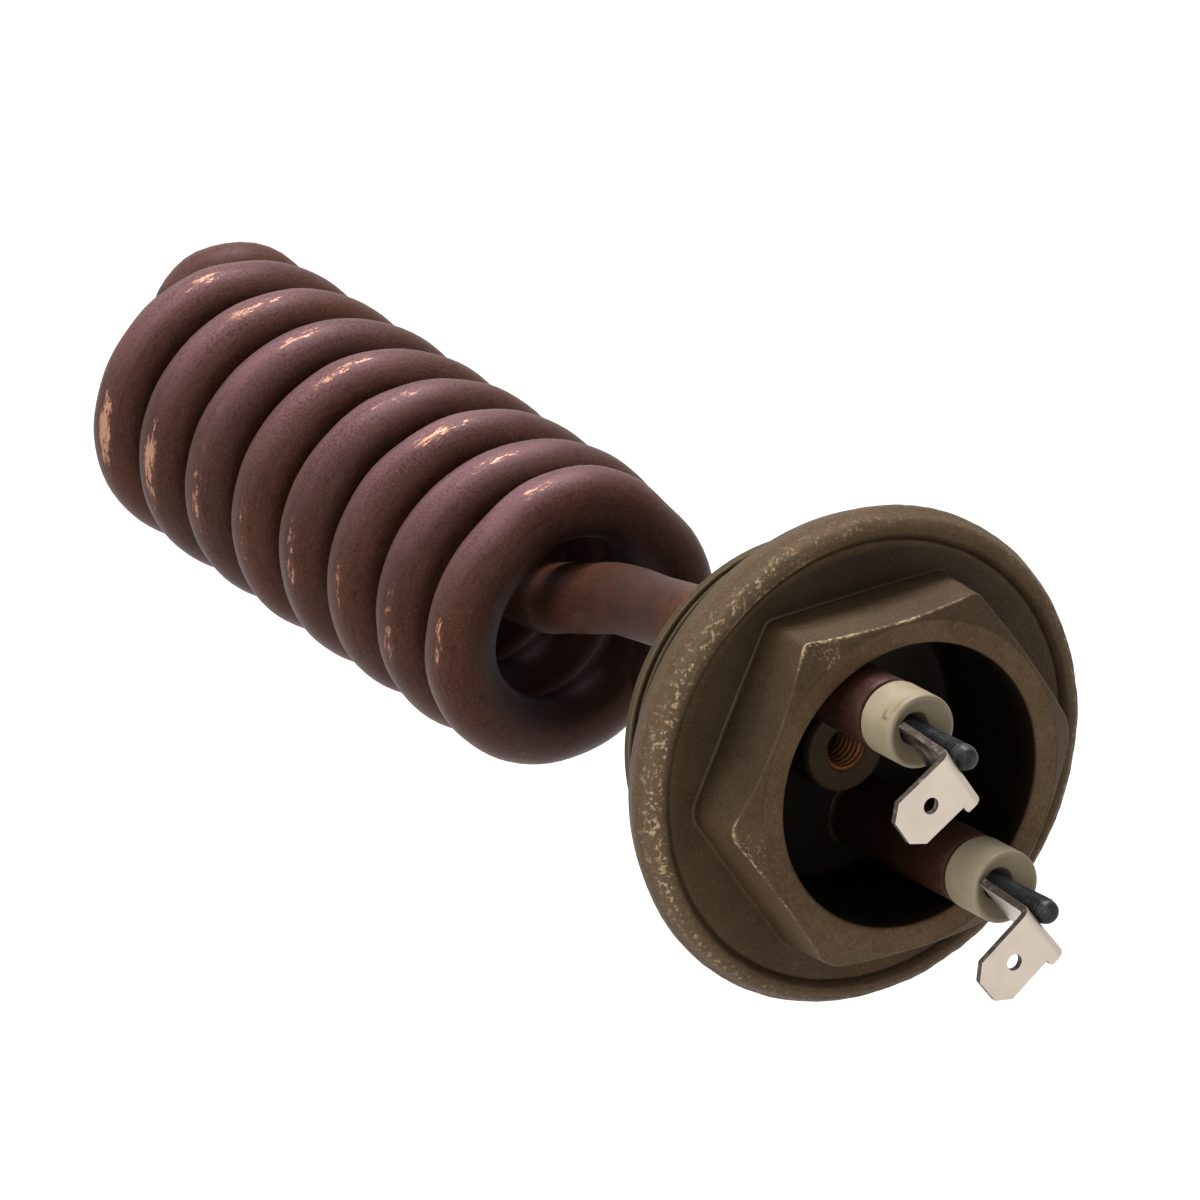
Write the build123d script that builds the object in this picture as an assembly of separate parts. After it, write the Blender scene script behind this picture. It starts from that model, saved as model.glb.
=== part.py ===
from build123d import *
import os
from math import sin, cos, tan, radians, pi, acos

# Screw-in heating element for an espresso machine boiler.
# Millimetres. The plug's axis is Y: the coil lies towards +Y, the terminals towards -Y, +Z is up.
# The origin is on that axis in the plane of the seat, the rear face of the flange.

# Thread and seat: a G 1 1/4 pipe thread screws into the boiler, and the flange seals on a flat gasket.
THREAD_MAJOR = 41.91
THREAD_PITCH = 2.309
SPIGOT_LENGTH = 11.0
SPIGOT_CHAMFER = 0.9
RELIEF_DIAMETER = 38.6
RELIEF_LENGTH = 2.6
FLANGE_DIAMETER = 56.0
SEAT_DIAMETER = 53.6
FLANGE_THICKNESS = 5.0
RIM_INNER = 50.0
RIM_CREST = 51.4
RIM_HEIGHT = 0.7

# Hexagon for a 38 mm spanner, turned a little about the axis, with a 30 degree chamfer in front.
HEX_ACROSS = 38.0
HEX_HEIGHT = 8.9
HEX_TURN = 4.8
HEX_CORNER = 4.5
HEX_CHAMFER_FROM = 37.4
HEX_CHAMFER_ANGLE = 30.0

# Pocket that shields the terminals, with the earth boss in the middle of its floor.
POCKET_DIAMETER = 32.0
POCKET_FLOOR = 4.0
POCKET_EDGE = 0.5
POCKET_CORNER = 0.3
BOSS_DIAMETER = 9.6
BOSS_TOP = -1.0
BOSS_DRAFT = 0.25
EARTH_TAP_DRILL = 4.2
EARTH_HOLE_DEPTH = 9.0
EARTH_MOUTH = 5.2

# Tubular heater: a copper sheath, packed magnesia, a resistance wire and two cold pins.
SHEATH_DIAMETER = 8.0
SHEATH_WALL = 0.8
CORE_DIAMETER = 2.9
SHEATH_BORE = SHEATH_DIAMETER - 2 * SHEATH_WALL

# The two legs pass through the floor either side of the boss.
LEG_RADIUS = 11.19
LEG_ANGLE = 118.0
SHEATH_END = -17.7
PIN_TIP = -33.4
PIN_REAR = 12.0
SEAL_LENGTH = 3.0
BRAZE_GAP = 0.15
BRAZE_LEG = 1.3
BRAZE_FRONT_LEG = 0.45

# Ceramic end beads.
BEAD_DIAMETER = 8.2
BEAD_LENGTH = 5.8
BEAD_BORE = 3.1
BEAD_MOUTH = 7.2
BEAD_MOUTH_DEPTH = 1.9
BEAD_SHANK = 3.0
BEAD_ROUND = 0.9

# Spade terminals, 6.3 x 0.8 mm, bent over the pins and spot-welded to them.
TAB_WIDTH = 6.3
TAB_THICKNESS = 0.8
TAB_TIP = 10.6
TAB_TIP_CHAMFER = 1.25
TAB_HOLE = 1.8
TAB_HOLE_AT = 6.3
TAB_EAR_OUT = 0.8
TAB_EAR_LONG = 1.1
TAB_BEND = 0.7
TAB_FRONT = -33.8
TAB_ANGLES = {"upper": 214.5, "lower": 218.5}

# Coil: eight left-handed turns on an axis that leans a little up and to the left.
COIL_RADIUS = 14.0
COIL_PITCH = 10.7
COIL_TURNS = 8
COIL_START = 48.7
COIL_AXIS_AT = (-2.0, 55.9, -1.66)
COIL_LEAN = (-0.019, 0.0552)
QUARTER = 90

# Bends of the legs and of the curl at the far end.
LEG_BEND = 26.0
LOWER_BEND = 7.0
ENTRY_BEND = 7.4
ENTRY_REACH = 10.0
CURL_BEND = 5.9
RETURN_BEND = 5.6


def leg_point(name, y):
    """A point on the straight part of the upper or lower leg."""
    side = 1 if name == "upper" else -1
    x = side * LEG_RADIUS * cos(radians(LEG_ANGLE))
    z = side * LEG_RADIUS * sin(radians(LEG_ANGLE))
    return Vector(x, y, z)


def coil_axis(y):
    """The point of the leaning coil axis at a given Y."""
    x0, y0, z0 = COIL_AXIS_AT
    return Vector(x0 + COIL_LEAN[0] * (y - y0), y, z0 + COIL_LEAN[1] * (y - y0))


def coil_point(phase, radius):
    """A point at a phase in degrees, counted from +X over +Z, on the left-handed helix."""
    y = COIL_START + COIL_PITCH * phase / 360
    return coil_axis(y) + Vector(cos(radians(phase)), 0, sin(radians(phase))) * radius


def heater_corners():
    """Corners and bend radii of the sheath's route, from the upper leg to the lower leg."""
    upper = [
        (leg_point("upper", 14.0), LEG_BEND),
        (Vector(-3.9, 39.5, 5.4), LEG_BEND),
        (coil_axis(61.0), LEG_BEND),
    ]
    last = coil_point(COIL_TURNS * 360 + 45, COIL_RADIUS)
    curl = [
        (coil_axis(141.3), RETURN_BEND),
        (Vector(-3.3, 139.9, 13.1), CURL_BEND),
        (last + Vector(-2.75, 1.0, 2.75), CURL_BEND),
    ]
    corner_radius = COIL_RADIUS / cos(radians(QUARTER / 2))
    phases = range(COIL_TURNS * 360, 0, -QUARTER)
    turns = [(coil_point(phase, corner_radius), None) for phase in phases]
    first = coil_point(45, COIL_RADIUS)
    lower = [
        (first + Vector(1, -0.15, -1) * (ENTRY_REACH / 2**0.5), ENTRY_BEND),
        (leg_point("lower", 47.4), LOWER_BEND),
    ]
    return upper + curl + turns + lower


def rounded_route(start, corners, end):
    """Straight runs joined by tangent arcs. A corner with no radius takes all the room it has."""
    points = [start] + [corner for corner, _ in corners] + [end]
    edges = []
    here = start
    length = 0.0
    for before, (corner, radius), after in zip(points, corners, points[2:]):
        come = (corner - before).normalized()
        go = (after - corner).normalized()
        turn = acos(max(-1.0, min(1.0, come.dot(go))))
        if radius is None:
            reach = min((corner - before).length, (after - corner).length) / 2
            radius = reach / tan(turn / 2)
        reach = radius * tan(turn / 2)
        enter = corner - come * reach
        leave = corner + go * reach
        middle = corner + (go - come).normalized() * (radius / cos(turn / 2) - radius)
        run = (enter - here).length
        if run > 0.02:
            edges.append(Edge.make_line(here, enter))
            length += run
        else:
            enter = here
        edges.append(Edge.make_three_point_arc(enter, middle, leave))
        length += radius * turn
        here = leave
    edges.append(Edge.make_line(here, end))
    length += (end - here).length
    return Wire(edges), length


def swept_round(diameter, route, start):
    """A round bar along a route that sets out from start in the +Y direction."""
    section = Plane(origin=start, z_dir=(0, 1, 0)) * Circle(diameter / 2)
    return sweep(section, path=route)


def heater_between(y_start):
    """The whole route, with both legs cut off square at one Y."""
    start = leg_point("upper", y_start)
    route, length = rounded_route(start, heater_corners(), leg_point("lower", y_start))
    return start, route, length


def turned(profile):
    """A profile drawn as (radius, y) points, turned about the plug axis."""
    face = Plane.XY * Polygon(*profile, align=None)
    return revolve(face, Axis.Y)


def on_leg(part, name):
    """Move a piece that was made about the plug axis onto a leg."""
    return Pos(leg_point(name, 0)) * part


def make_plug():
    """One brass forging: spigot, flange with a raised rim, hexagon, pocket and earth boss."""
    rear = SPIGOT_LENGTH
    face = -FLANGE_THICKNESS
    crest = face - RIM_HEIGHT
    major = THREAD_MAJOR / 2
    relief = RELIEF_DIAMETER / 2
    outer = FLANGE_DIAMETER / 2
    body = turned([
        (0, rear),
        (major - SPIGOT_CHAMFER, rear),
        (major, rear - SPIGOT_CHAMFER),
        (major, RELIEF_LENGTH + 0.8),
        (relief, RELIEF_LENGTH),
        (relief, 0),
        (SEAT_DIAMETER / 2, 0),
        (outer - 0.35, -0.5),
        (outer, -1.3),
        (outer, face + 1.6),
        (outer - 0.3, face + 0.6),
        (outer - 0.9, face - 0.15),
        (RIM_CREST / 2 + 0.5, crest + 0.08),
        (RIM_CREST / 2, crest),
        (RIM_INNER / 2, face),
        (0, face),
    ])
    outline = RegularPolygon(HEX_ACROSS / 2, 6, major_radius=False, rotation=HEX_TURN)
    outline = fillet(outline.vertices(), HEX_CORNER)
    front_y = face - HEX_HEIGHT
    chamfer_drop = (outer - HEX_CHAMFER_FROM / 2) * tan(radians(HEX_CHAMFER_ANGLE))
    turned_front = turned([
        (0, face + 0.5),
        (outer, face + 0.5),
        (outer, front_y + chamfer_drop),
        (HEX_CHAMFER_FROM / 2, front_y),
        (0, front_y),
    ])
    hexagon = extrude(Plane.XZ.offset(FLANGE_THICKNESS - 0.5) * outline, HEX_HEIGHT + 0.5)
    plug = body + (hexagon & turned_front)
    pocket = turned([
        (0, POCKET_FLOOR),
        (POCKET_DIAMETER / 2 - POCKET_CORNER, POCKET_FLOOR),
        (POCKET_DIAMETER / 2, POCKET_FLOOR - POCKET_CORNER),
        (POCKET_DIAMETER / 2, front_y + POCKET_EDGE),
        (POCKET_DIAMETER / 2 + POCKET_EDGE, front_y),
        (POCKET_DIAMETER / 2 + POCKET_EDGE, front_y - 1),
        (0, front_y - 1),
    ])
    boss = turned([
        (0, POCKET_FLOOR + 1),
        (BOSS_DIAMETER / 2 + BOSS_DRAFT, POCKET_FLOOR + 1),
        (BOSS_DIAMETER / 2 + BOSS_DRAFT, POCKET_FLOOR),
        (BOSS_DIAMETER / 2, BOSS_TOP + 0.4),
        (BOSS_DIAMETER / 2 - 0.4, BOSS_TOP),
        (0, BOSS_TOP),
    ])
    hole_end = BOSS_TOP + EARTH_HOLE_DEPTH
    earth_hole = turned([
        (0, hole_end + 1.2),
        (EARTH_TAP_DRILL / 2, hole_end),
        (EARTH_TAP_DRILL / 2, BOSS_TOP + 0.5),
        (EARTH_MOUTH / 2, BOSS_TOP),
        (EARTH_MOUTH / 2, BOSS_TOP - 1),
        (0, BOSS_TOP - 1),
    ])
    plug = plug - pocket + boss - earth_hole
    leg_hole = turned([
        (0, rear + 1),
        (SHEATH_DIAMETER / 2 + BRAZE_GAP, rear + 1),
        (SHEATH_DIAMETER / 2 + BRAZE_GAP, POCKET_FLOOR - 2),
        (0, POCKET_FLOOR - 2),
    ])
    for name in ("upper", "lower"):
        plug = plug - on_leg(leg_hole, name)
    return plug


def make_braze(name):
    """Silver braze: a thin sleeve in the hole with a fillet at either face of the floor."""
    inner = SHEATH_DIAMETER / 2
    outer = inner + BRAZE_GAP
    toe = inner + BRAZE_LEG
    waist = inner + BRAZE_LEG * 0.38
    profile = [
        (inner, SPIGOT_LENGTH + BRAZE_LEG),
        (waist, SPIGOT_LENGTH + BRAZE_LEG * 0.38),
        (toe, SPIGOT_LENGTH),
        (outer, SPIGOT_LENGTH),
        (outer, POCKET_FLOOR),
        (inner + BRAZE_FRONT_LEG, POCKET_FLOOR),
        (inner, POCKET_FLOOR - BRAZE_FRONT_LEG),
    ]
    return on_leg(turned(profile), name)


def make_sheath():
    """The bent copper tube, open at both ends."""
    start, route, length = heater_between(SHEATH_END)
    outer = swept_round(SHEATH_DIAMETER, route, start)
    bore = swept_round(SHEATH_BORE, route, start)
    tube = outer - bore
    area = pi * (SHEATH_DIAMETER**2 - SHEATH_BORE**2) / 4
    print(f"sheath route {length:.1f} mm, volume {tube.volume:.0f} against {area * length:.0f} mm3")
    return tube


def make_fill():
    """Packed magnesia between the two end seals, around the pins and the wire."""
    start, route, _ = heater_between(SHEATH_END + BEAD_SHANK + SEAL_LENGTH)
    return swept_round(SHEATH_BORE, route, start) - swept_round(CORE_DIAMETER, route, start)


def make_wire():
    """The close-wound resistance wire, drawn as the round envelope of its winding."""
    start, route, _ = heater_between(PIN_REAR)
    return swept_round(CORE_DIAMETER, route, start)


def make_pin(name):
    """A cold pin: a straight steel rod with a rounded tip, threaded outside the bead."""
    r = CORE_DIAMETER / 2
    profile = [
        (0, PIN_REAR),
        (r, PIN_REAR),
        (r, PIN_TIP + 0.9),
        (r * 0.86, PIN_TIP + 0.35),
        (r * 0.55, PIN_TIP),
        (0, PIN_TIP),
    ]
    return on_leg(turned(profile), name)


def make_bead(name):
    """A ceramic bead: a collar with a countersunk mouth, on a shank inside the sheath."""
    front = SHEATH_END - BEAD_LENGTH
    collar = BEAD_DIAMETER / 2
    profile = [
        (BEAD_BORE / 2, SHEATH_END + BEAD_SHANK),
        (SHEATH_BORE / 2, SHEATH_END + BEAD_SHANK),
        (SHEATH_BORE / 2, SHEATH_END),
        (collar - BEAD_ROUND, SHEATH_END),
        (collar - 0.27 * BEAD_ROUND, SHEATH_END - 0.27 * BEAD_ROUND),
        (collar, SHEATH_END - BEAD_ROUND),
        (collar, front + 0.25),
        (collar - 0.25, front),
        (BEAD_MOUTH / 2, front),
        (BEAD_BORE / 2, front + BEAD_MOUTH_DEPTH),
    ]
    return on_leg(turned(profile), name)


def make_seal(name):
    """The resin plug between the bead's shank and the magnesia."""
    rear = SHEATH_END + BEAD_SHANK + SEAL_LENGTH
    profile = [
        (CORE_DIAMETER / 2, rear),
        (SHEATH_BORE / 2, rear),
        (SHEATH_BORE / 2, rear - SEAL_LENGTH),
        (CORE_DIAMETER / 2, rear - SEAL_LENGTH),
    ]
    return on_leg(turned(profile), name)


def make_tab(name):
    """A spade terminal bent to an L: its foot lies along the pin and its blade hangs from it."""
    down = radians(TAB_ANGLES[name])
    blade_way = Vector(cos(down), 0, sin(down))
    half = TAB_WIDTH / 2
    top = CORE_DIAMETER / 2
    front = TAB_FRONT
    back = SHEATH_END - BEAD_LENGTH
    # The L section: u runs along the blade, v along the plug axis towards the coil.
    section = [
        (top, back),
        (top, front + TAB_BEND + TAB_THICKNESS * 0.3),
        (top + 0.25, front + 0.25),
        (top + TAB_BEND + 0.2, front),
        (TAB_TIP, front),
        (TAB_TIP, front + TAB_THICKNESS),
        (top + TAB_THICKNESS + 0.3, front + TAB_THICKNESS),
        (top + TAB_THICKNESS, front + TAB_THICKNESS + 0.3),
        (top + TAB_THICKNESS, back),
    ]
    centre = leg_point(name, 0)
    plane = Plane(origin=centre, x_dir=blade_way, z_dir=blade_way.cross(Vector(0, 1, 0)))
    tab = extrude(plane * Polygon(*section, align=None), half, both=True)
    # Seen from the terminals, the blade's own plane: u down the blade, w across it.
    across = Plane(origin=centre + Vector(0, front, 0), x_dir=blade_way, z_dir=(0, -1, 0))
    step = TAB_TIP_CHAMFER
    for side in (1, -1):
        corner = [
            (TAB_TIP + 1, side * (half - step - 1)),
            (TAB_TIP + 1, side * (half + 1)),
            (TAB_TIP - step - 1, side * (half + 1)),
        ]
        tab = tab - extrude(across * Polygon(*corner, align=None), -3, both=True)
    tab = tab - extrude(across * Pos(TAB_HOLE_AT, 0) * Circle(TAB_HOLE / 2), -3, both=True)
    ear_side = 1
    ear = [
        (top + TAB_BEND, ear_side * (half - 0.5)),
        (top + 0.05, ear_side * (half + TAB_EAR_OUT)),
        (top + TAB_EAR_LONG, ear_side * (half + TAB_EAR_OUT)),
        (top + TAB_EAR_LONG + 0.4, ear_side * (half - 0.5)),
    ]
    return tab + extrude(across * Polygon(*ear, align=None), -TAB_THICKNESS)


def all_pieces():
    """Every physical piece of the element, by the name of its node."""
    pieces = {
        "hex_plug": make_plug(),
        "sheath_tube": make_sheath(),
        "magnesia_fill": make_fill(),
        "resistance_wire": make_wire(),
    }
    for name in ("upper", "lower"):
        pieces[f"cold_pin_{name}"] = make_pin(name)
        pieces[f"end_bead_{name}"] = make_bead(name)
        pieces[f"end_seal_{name}"] = make_seal(name)
        pieces[f"terminal_tab_{name}"] = make_tab(name)
        pieces[f"braze_joint_{name}"] = make_braze(name)
    return pieces


os.makedirs("parts", exist_ok=True)
for node, piece in all_pieces().items():
    export_step(piece, f"parts/{node}.step")
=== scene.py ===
import bpy
import numpy as np
from mathutils import Matrix


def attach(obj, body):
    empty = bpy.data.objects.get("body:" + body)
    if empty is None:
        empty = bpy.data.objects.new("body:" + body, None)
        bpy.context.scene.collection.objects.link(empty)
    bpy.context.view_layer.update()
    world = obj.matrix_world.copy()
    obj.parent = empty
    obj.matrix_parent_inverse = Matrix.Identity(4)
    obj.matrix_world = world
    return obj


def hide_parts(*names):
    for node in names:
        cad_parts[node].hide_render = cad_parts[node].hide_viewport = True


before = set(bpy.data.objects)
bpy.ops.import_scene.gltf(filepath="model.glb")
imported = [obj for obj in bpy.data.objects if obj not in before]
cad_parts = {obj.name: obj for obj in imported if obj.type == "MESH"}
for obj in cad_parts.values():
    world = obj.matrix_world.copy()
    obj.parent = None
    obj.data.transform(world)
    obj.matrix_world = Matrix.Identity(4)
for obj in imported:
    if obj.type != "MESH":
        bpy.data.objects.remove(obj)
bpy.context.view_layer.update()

# The plug: one brass forging, blasted, then machined on its seat, its thread and its front chamfer.
# One skin runs from the pocket's floor out over the hexagon, the flange and the thread to the rear face.
MM = 0.001
THREAD_MAJOR = 20.955
THREAD_DEPTH = 1.35
THREAD_PITCH = 2.309
THREAD_ROWS = 76
SPIGOT_END = 11.0
SPIGOT_CHAMFER = 0.3
SPIGOT_LIP = 9.8
RELIEF_RADIUS = 19.3
RELIEF_END = 2.6
FLANGE_RADIUS = 28.0
SEAT_RADIUS = 26.8
FACE_Y = -5.0
FLANGE_BACK = -2.4
RIM_INNER = 25.0
RIM_CREST_Y = -5.7
HEX_HALF = 19.0
HEX_CORNERS = np.array([4.5, 1.6, 1.1, 2.5, 4.0, 4.0])
HEX_TURN = np.radians(4.8)
HEX_FRONT = -13.9
HEX_CHAMFER_FROM = 18.72
HEX_CHAMFER = np.radians(30)
HEX_EDGE = 0.35
HEX_ROOT = 0.25
HEX_DRAFT = 0.3
POCKET_RADIUS = 16.0
POCKET_FLOOR = 4.0
PLUG_COLUMNS = 360
FORGED_GRAIN = 0.010
RIM_GRAIN = 0.012


def arc_chain(corners, step):
    """A profile through the corners (a, b, radius): each corner is a tangent arc, and the points lie about a
    step apart."""
    points = np.array([corner[:2] for corner in corners], float)
    pieces = [points[:1]]
    for before, here, after, corner in zip(points, points[1:], points[2:], corners[1:]):
        come = (here - before) / np.linalg.norm(here - before)
        go = (after - here) / np.linalg.norm(after - here)
        turn = np.arccos(np.clip(come @ go, -1, 1))
        radius = max(corner[2], 1e-4)
        side = np.array([-come[1], come[0]]) * (1 if come[0] * go[1] > come[1] * go[0] else -1)
        centre = here - come * radius * np.tan(turn / 2) + side * radius
        swing = np.linspace(0, turn, max(2, int(radius * turn / step) + 3))[:, None]
        pieces.append(centre + radius * (np.sin(swing) * come - np.cos(swing) * side))
    return evenly(np.vstack(pieces + [points[-1:]]), step)


def evenly(chain, step):
    """The same chain of points, with its longer runs cut into equal parts of about a step."""
    parts = []
    for start, end in zip(chain, chain[1:]):
        count = max(1, round(np.linalg.norm(end - start) / step))
        parts.append(start + (end - start) * np.arange(count)[:, None] / count)
    return np.vstack(parts + [chain[-1:]])


def bell(value, middle, width, power=2):
    """1 where the value is the middle, falling off smoothly over the width."""
    return np.exp(-(((value - middle) / width) ** power))


def zigzag(turns):
    """1 at every full turn, 0 at every half turn, and straight between them."""
    return np.abs(2 * (turns % 1) - 1)


def revolved(r, y, theta):
    """Points at a distance from the plug's axis, at a Y and in a direction round the axis."""
    return np.stack([r * np.cos(theta), y, r * np.sin(theta)], -1)


def hexagon_radius(theta):
    """Distance from the axis to the hexagon's side: half its width over a cosine on a flat, and the
    far side of a circle at a corner. The corners are worn unevenly, so each has a rounding of its own."""
    sector = np.round((theta - HEX_TURN) / (np.pi / 3)).astype(int) % 6
    rounding = HEX_CORNERS[sector]
    from_corner = (theta - HEX_TURN + np.pi / 6) % (np.pi / 3) - np.pi / 6
    from_flat = np.pi / 6 - np.abs(from_corner)
    centre = (HEX_HALF - rounding) / np.cos(np.pi / 6)
    room = rounding**2 - (centre * np.sin(from_corner)) ** 2
    arc = centre * np.cos(from_corner) + np.sqrt(np.maximum(room, 0))
    flat_end = np.arctan((HEX_HALF - rounding) * np.tan(np.pi / 6) / HEX_HALF)
    return np.where(from_flat < flat_end, HEX_HALF / np.cos(from_flat), arc)


def lumps(points, size, seed):
    """A smooth random field: the sum of 24 sine waves of one length, each in a random direction."""
    random = np.random.default_rng(seed)
    ways = random.normal(size=(24, 3))
    ways *= (2 * np.pi / size) / np.linalg.norm(ways, axis=1)[:, None]
    starts = random.uniform(0, 2 * np.pi, 24)
    return np.sin(points @ ways.T + starts).sum(-1) / np.sqrt(12)


def lathed(profile, columns):
    """The radius, Y and direction of every point of a profile of (radius, Y) carried round an axis."""
    theta = np.linspace(0, 2 * np.pi, columns, endpoint=False)
    return np.broadcast_arrays(profile[:, :1], profile[:, 1:], theta)


def added(name, data):
    """A new object in the scene, with its mesh, camera or lamp."""
    thing = bpy.data.objects.new(name, data)
    bpy.context.collection.objects.link(thing)
    return thing


def skin(name, rings, ends="closed", **attributes):
    """A mesh over rings[i, j], with i along the form and j round it. A fan of triangles closes each end, or
    the ends are joined to each other where ends is "loop". The sign of the volume turns the faces outward."""
    count, columns = rings.shape[:2]
    points = rings.reshape(-1, 3)
    steps = count if ends == "loop" else count - 1
    i, j = np.meshgrid(np.arange(steps), np.arange(columns), indexing="ij")
    below = (i + 1) % count * columns
    ahead = (j + 1) % columns
    corners = [np.stack([i * columns + j, i * columns + ahead, below + ahead, below + j], -1).ravel()]
    sizes = [np.full(steps * columns, 4)]
    if ends == "closed":
        around = np.arange(columns)
        ahead = (around + 1) % columns
        last = (count - 1) * columns
        hubs = np.array([rings[0].mean(0), rings[-1].mean(0)])
        front_hub = np.full(columns, len(points))
        points = np.vstack([points, hubs])
        corners.append(np.stack([front_hub, ahead, around], -1).ravel())
        corners.append(np.stack([front_hub + 1, last + around, last + ahead], -1).ravel())
        sizes += [np.full(columns, 3)] * 2
    corners = np.concatenate(corners)
    sizes = np.concatenate(sizes)
    starts = np.cumsum(sizes) - sizes
    first, second, third = (points[corners[starts + k]] for k in range(3))
    fourth = points[corners[starts + sizes - 1]]
    volume = np.einsum("ij,ij->", first, np.cross(second, third))
    volume += np.einsum("ij,ij->", first, np.cross(third, fourth))
    if volume < 0:
        owner = np.repeat(np.arange(len(sizes)), sizes)
        corners = corners[2 * starts[owner] + sizes[owner] - 1 - np.arange(len(corners))]
    mesh = bpy.data.meshes.new(name)
    mesh.vertices.add(len(points))
    mesh.vertices.foreach_set("co", (points * MM).ravel())
    mesh.loops.add(len(corners))
    mesh.loops.foreach_set("vertex_index", corners)
    mesh.polygons.add(len(sizes))
    mesh.polygons.foreach_set("loop_start", starts)
    mesh.polygons.foreach_set("use_smooth", np.ones(len(sizes), bool))
    for label, values in attributes.items():
        width = 3 if values.ndim == 3 else 1
        values = values.reshape(-1, width)
        values = np.vstack([values, np.repeat(values[-1:], len(points) - len(values), 0)])
        kind, field = ("FLOAT_VECTOR", "vector") if width == 3 else ("FLOAT", "value")
        mesh.attributes.new(label, kind, "POINT").data.foreach_set(field, values.astype(np.float32).ravel())
    mesh.update()
    mesh.validate()
    return added(name, mesh)


def paint(piece, material):
    """Gives a piece one material in place of what it has."""
    piece.data.materials.clear()
    piece.data.materials.append(material)


def dress(piece, material, slot, *nodes):
    """Gives a finished piece its material and its body, and hides the solids it stands for. The slot is not
    used.
    """
    paint(piece, material)
    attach(piece, "root")
    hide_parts(*nodes)


class Shader:
    """A material with one Principled surface, and short ways to add nodes to it and to join them."""

    def __init__(self, name):
        self.material = bpy.data.materials.new(name)
        self.material.use_nodes = True
        self.tree = self.material.node_tree
        self.surface = self.tree.nodes["Principled BSDF"]
        self.place = self.add("ShaderNodeTexCoord").outputs["Object"]

    def set(self, socket, value):
        """A value or another node's output goes into a socket."""
        if isinstance(value, bpy.types.NodeSocket):
            self.tree.links.new(value, socket)
        elif isinstance(value, tuple) and socket.type == "RGBA":
            socket.default_value = (*value, 1)
        else:
            socket.default_value = value

    def add(self, kind, inputs=None, **settings):
        """A new node with its settings and inputs."""
        node = self.tree.nodes.new(kind)
        for key, value in settings.items():
            setattr(node, key, value)
        for key, value in (inputs or {}).items():
            self.set(node.inputs[key], value)
        return node

    def finish(self, **inputs):
        """Feeds the surface: base_color fills Base Color, and so on."""
        for key, value in inputs.items():
            self.set(self.surface.inputs[key.replace("_", " ").title().replace("Ior", "IOR")], value)
        return self.material

    def attribute(self, name, output="Fac"):
        """What the mesh says at this point."""
        return self.add("ShaderNodeAttribute", attribute_name=name).outputs[output]

    def noise(self, size, detail=4.0, rough=0.55, place=None):
        """Noise whose blotches are about size millimetres across."""
        inputs = {"Vector": place or self.place, "Scale": 1 / (size * MM), "Detail": detail}
        inputs["Roughness"] = rough
        return self.add("ShaderNodeTexNoise", inputs).outputs["Fac"]

    def stretched(self, place, x):
        """The same place with its first axis scaled, so that a pattern becomes long along it."""
        return self.add("ShaderNodeVectorMath", {0: place, 1: (x, 1, 1)}, operation="MULTIPLY").outputs[0]

    def step(self, value, low, high):
        """A soft step: 0 up to low, 1 from high on."""
        inputs = {"Value": value, "From Min": low, "From Max": high}
        return self.add("ShaderNodeMapRange", inputs, interpolation_type="SMOOTHSTEP").outputs[0]

    def mix(self, share, under, over):
        """over laid on under, by share."""
        return self.add("ShaderNodeMix", {0: share, 6: under, 7: over}, data_type="RGBA").outputs[2]

    def tint(self, under, pattern, span, over, strength=1):
        """over laid on under where a pattern rises through a span, by strength."""
        share = self.step(pattern, *span)
        return self.mix(share if strength == 1 else self.times(share, strength), under, over)

    def times(self, first, second):
        """Product of two numbers."""
        return self.add("ShaderNodeMath", {0: first, 1: second}, operation="MULTIPLY").outputs[0]

    def plus(self, first, second):
        """Sum of two numbers."""
        return self.add("ShaderNodeMath", {0: first, 1: second}, operation="ADD").outputs[0]

    def bump(self, height, depth, strength=1.0):
        """A normal from a height between 0 and 1, depth millimetres deep."""
        inputs = {"Height": height, "Strength": strength, "Distance": depth * MM}
        return self.add("ShaderNodeBump", inputs).outputs["Normal"]


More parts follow.
